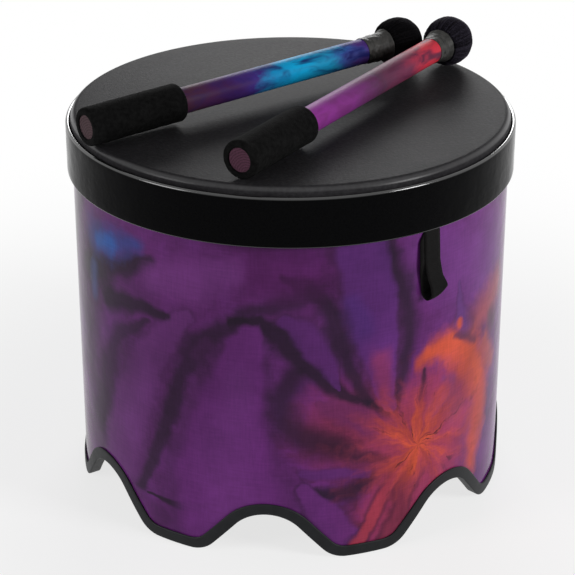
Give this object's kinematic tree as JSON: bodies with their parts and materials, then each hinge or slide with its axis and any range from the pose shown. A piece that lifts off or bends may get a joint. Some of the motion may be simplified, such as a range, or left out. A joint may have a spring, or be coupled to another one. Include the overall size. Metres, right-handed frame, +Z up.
{
  "type": "gathering drum",
  "caption": "Floor drum with a scalloped shell, a lift-off head cap with a ribbon pull loop, and a pair of soft mallets that rest on the skin.",
  "frame": {"origin": "on the drum's axis, at the floor under its feet", "axes": "+Z up along the drum's axis, -Y through the middle of the front foot, +X to its right"},
  "size_m": [0.3139, 0.3175, 0.3113],
  "materials": {
    "fibre_tube": "plain fibreboard",
    "tie_dye_wrap": "tie-dyed cloth under a clear gloss coat",
    "trim_rubber": "satin extruded rubber",
    "hoop_gloss": "polished black",
    "drum_skin": "fine matte grain",
    "hoop_wood": "bare bent ply",
    "gasket_foam": "matte",
    "lip_felt": "pressed felt",
    "black_ribbon": "woven grosgrain",
    "dowel_wood": "dyed hardwood end grain",
    "shaft_film": "tie-dye printed film",
    "grip_foam": "matte foam",
    "core_rubber": "matte",
    "head_cloth": "gathered soft cloth",
    "neck_vinyl": "wrinkled vinyl tape"
  },
  "bodies": {
    "shell": {"shell_tube": "fibre_tube", "shell_wrap": "tie_dye_wrap", "foot_trim": "trim_rubber"},
    "head": {"hoop": "hoop_gloss", "head_skin": "drum_skin", "flesh_hoop": "hoop_wood", "rim_gasket": "gasket_foam", "hoop_felt": "lip_felt", "loop_tails": "black_ribbon"},
    "pull_loop": {"pull_loop": "black_ribbon"},
    "mallet_left": {"left_dowel": "dowel_wood", "left_shaft_wrap": "shaft_film", "left_grip": "grip_foam", "left_head_core": "core_rubber", "left_head_cover": "head_cloth", "left_neck_tape": "neck_vinyl"},
    "mallet_right": {"right_dowel": "dowel_wood", "right_shaft_wrap": "shaft_film", "right_grip": "grip_foam", "right_head_core": "core_rubber", "right_head_cover": "head_cloth", "right_neck_tape": "neck_vinyl"}
  },
  "joints": [
    {"name": "head_lift", "type": "slide", "parent": "shell", "child": "head", "axis": [0, 0, 1], "range_m": [0, 0.1]},
    {"name": "loop_swing", "type": "hinge", "parent": "head", "child": "pull_loop", "pos_m": [0.04491, -0.14689, 0.2336], "axis": [-0.9563, -0.2924, 0], "range_deg": [0, 65]},
    {"name": "left_mallet_lift", "type": "slide", "parent": "head", "child": "mallet_left", "axis": [0, 0, 1], "range_m": [0, 0.15]},
    {"name": "right_mallet_lift", "type": "slide", "parent": "head", "child": "mallet_right", "axis": [0, 0, 1], "range_m": [0, 0.15]}
  ]
}
